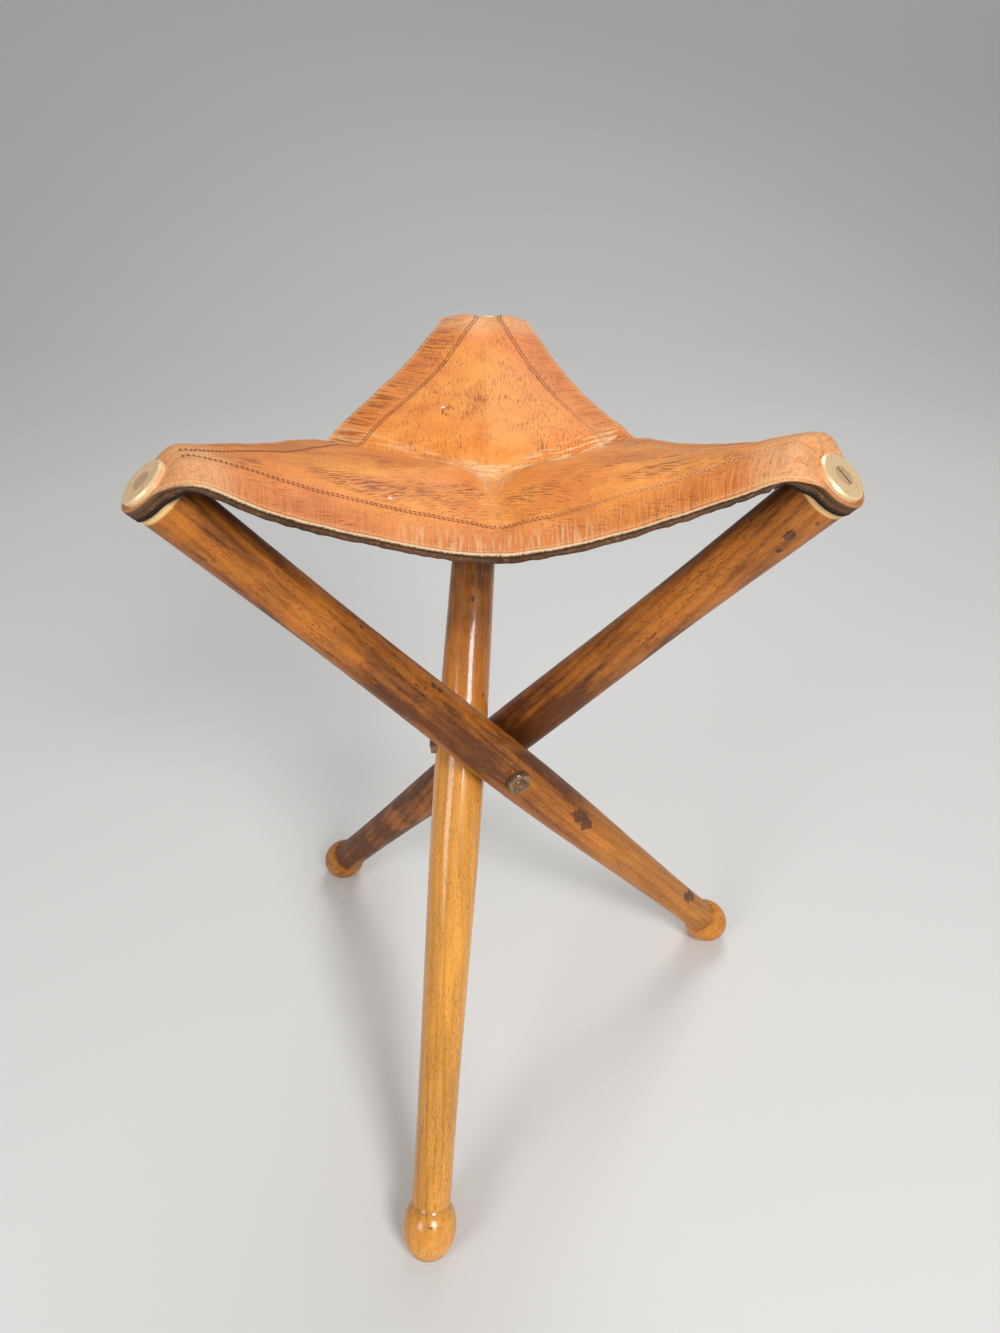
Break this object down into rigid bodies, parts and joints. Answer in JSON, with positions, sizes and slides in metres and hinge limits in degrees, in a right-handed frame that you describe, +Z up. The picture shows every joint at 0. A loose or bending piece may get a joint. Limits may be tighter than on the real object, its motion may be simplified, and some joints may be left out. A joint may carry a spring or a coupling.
{
  "type": "folding tripod stool",
  "caption": "Folding stool: turned wooden legs cross on a branched bolt and carry a sagging leather seat screwed to their ends under brass discs.",
  "frame": {"origin": "on the floor, under the middle of the opened stool's box", "axes": "+Z up; -Y towards the viewer of the picture, past the seat's free front edge; +X towards the seat's right corner"},
  "size_m": [0.3408, 0.3614, 0.4588],
  "materials": {
    "wood": "satin varnish, worn",
    "seat_leather": "worn, semi-matte",
    "strip_leather": "matte",
    "patch_leather": "matte",
    "brass": "dulled, scratched",
    "screw_brass": "dulled",
    "steel": "dulled, lightly tarnished"
  },
  "bodies": {
    "bolt": {"three_way_bolt": "steel", "bolt_nut_left": "steel", "bolt_nut_right": "steel", "bolt_nut_back": "steel"},
    "leg_left": {"leg_left": "wood", "end_disc_left": "brass", "end_screw_left": "screw_brass", "corner_patch_left": "patch_leather", "corner_strip_left": "strip_leather", "seat_corner_left": "seat_leather"},
    "leg_right": {"leg_right": "wood", "end_disc_right": "brass", "end_screw_right": "screw_brass", "corner_patch_right": "patch_leather", "corner_strip_right": "strip_leather", "seat_corner_right": "seat_leather"},
    "leg_back": {"leg_back": "wood", "end_disc_back": "brass", "end_screw_back": "screw_brass", "corner_patch_back": "patch_leather", "corner_strip_back": "strip_leather", "seat_corner_back": "seat_leather"},
    "half_left_front": {"seat_left_front": "seat_leather", "edge_strip_left_front": "strip_leather"},
    "half_left_back": {"seat_left_back": "seat_leather", "edge_strip_left_back": "strip_leather"},
    "half_right_back": {"seat_right_back": "seat_leather", "edge_strip_right_back": "strip_leather"},
    "half_right_front": {"seat_right_front": "seat_leather", "edge_strip_right_front": "strip_leather"},
    "half_back_left": {"seat_back_left": "seat_leather", "edge_strip_back_left": "strip_leather"},
    "half_back_right": {"seat_back_right": "seat_leather", "edge_strip_back_right": "strip_leather"}
  },
  "joints": [
    {"name": "fold_left", "type": "hinge", "parent": "bolt", "child": "leg_left", "pos_m": [-0.01735, 0.00783, 0.24334], "axis": [-0.3726, 0.928, 0], "range_deg": [0, 28]},
    {"name": "fold_right", "type": "hinge", "parent": "bolt", "child": "leg_right", "pos_m": [-0.01735, 0.00783, 0.24334], "axis": [-0.6173, -0.7867, 0], "range_deg": [0, 28]},
    {"name": "fold_back", "type": "hinge", "parent": "bolt", "child": "leg_back", "pos_m": [-0.01735, 0.00783, 0.24334], "axis": [0.99, -0.1413, 0], "range_deg": [0, 28]},
    {"name": "crease_left_front", "type": "hinge", "parent": "leg_left", "child": "half_left_front", "pos_m": [-0.14002, -0.06299, 0.45817], "axis": [-0.7347, 0.6055, 0.3058], "range_deg": [0, 41.33], "deforming": ["seat_left_front", "edge_strip_left_front"]},
    {"name": "crease_left_back", "type": "hinge", "parent": "leg_left", "child": "half_left_back", "pos_m": [-0.14002, -0.06299, 0.45817], "axis": [-0.8559, 0.1485, 0.4954], "range_deg": [0, 60.99], "deforming": ["seat_left_back", "edge_strip_left_back"]},
    {"name": "crease_right_back", "type": "hinge", "parent": "leg_right", "child": "half_right_back", "pos_m": [0.10532, -0.06299, 0.45817], "axis": [-0.157, -0.9391, 0.3058], "range_deg": [0, 41.33], "deforming": ["seat_right_back", "edge_strip_right_back"]},
    {"name": "crease_right_front", "type": "hinge", "parent": "leg_right", "child": "half_right_front", "pos_m": [0.10532, -0.06299, 0.45817], "axis": [0.2993, -0.8155, 0.4954], "range_deg": [0, 60.99], "deforming": ["seat_right_front", "edge_strip_right_front"]},
    {"name": "crease_back_left", "type": "hinge", "parent": "leg_back", "child": "half_back_left", "pos_m": [-0.01735, 0.14947, 0.45817], "axis": [0.8917, 0.3336, 0.3058], "range_deg": [0, 41.33], "deforming": ["seat_back_left", "edge_strip_back_left"]},
    {"name": "crease_back_right", "type": "hinge", "parent": "leg_back", "child": "half_back_right", "pos_m": [-0.01735, 0.14947, 0.45817], "axis": [0.5566, 0.667, 0.4954], "range_deg": [0, 60.99], "deforming": ["seat_back_right", "edge_strip_back_right"]}
  ],
  "couplings": [
    {"joint": "fold_right", "follows": "fold_left", "ratio": 1},
    {"joint": "fold_back", "follows": "fold_left", "ratio": 1},
    {"joint": "crease_left_front", "follows": "fold_left", "ratio": 1.476},
    {"joint": "crease_left_back", "follows": "fold_left", "ratio": 2.178},
    {"joint": "crease_right_back", "follows": "fold_left", "ratio": 1.476},
    {"joint": "crease_right_front", "follows": "fold_left", "ratio": 2.178},
    {"joint": "crease_back_left", "follows": "fold_left", "ratio": 1.476},
    {"joint": "crease_back_right", "follows": "fold_left", "ratio": 2.178}
  ]
}
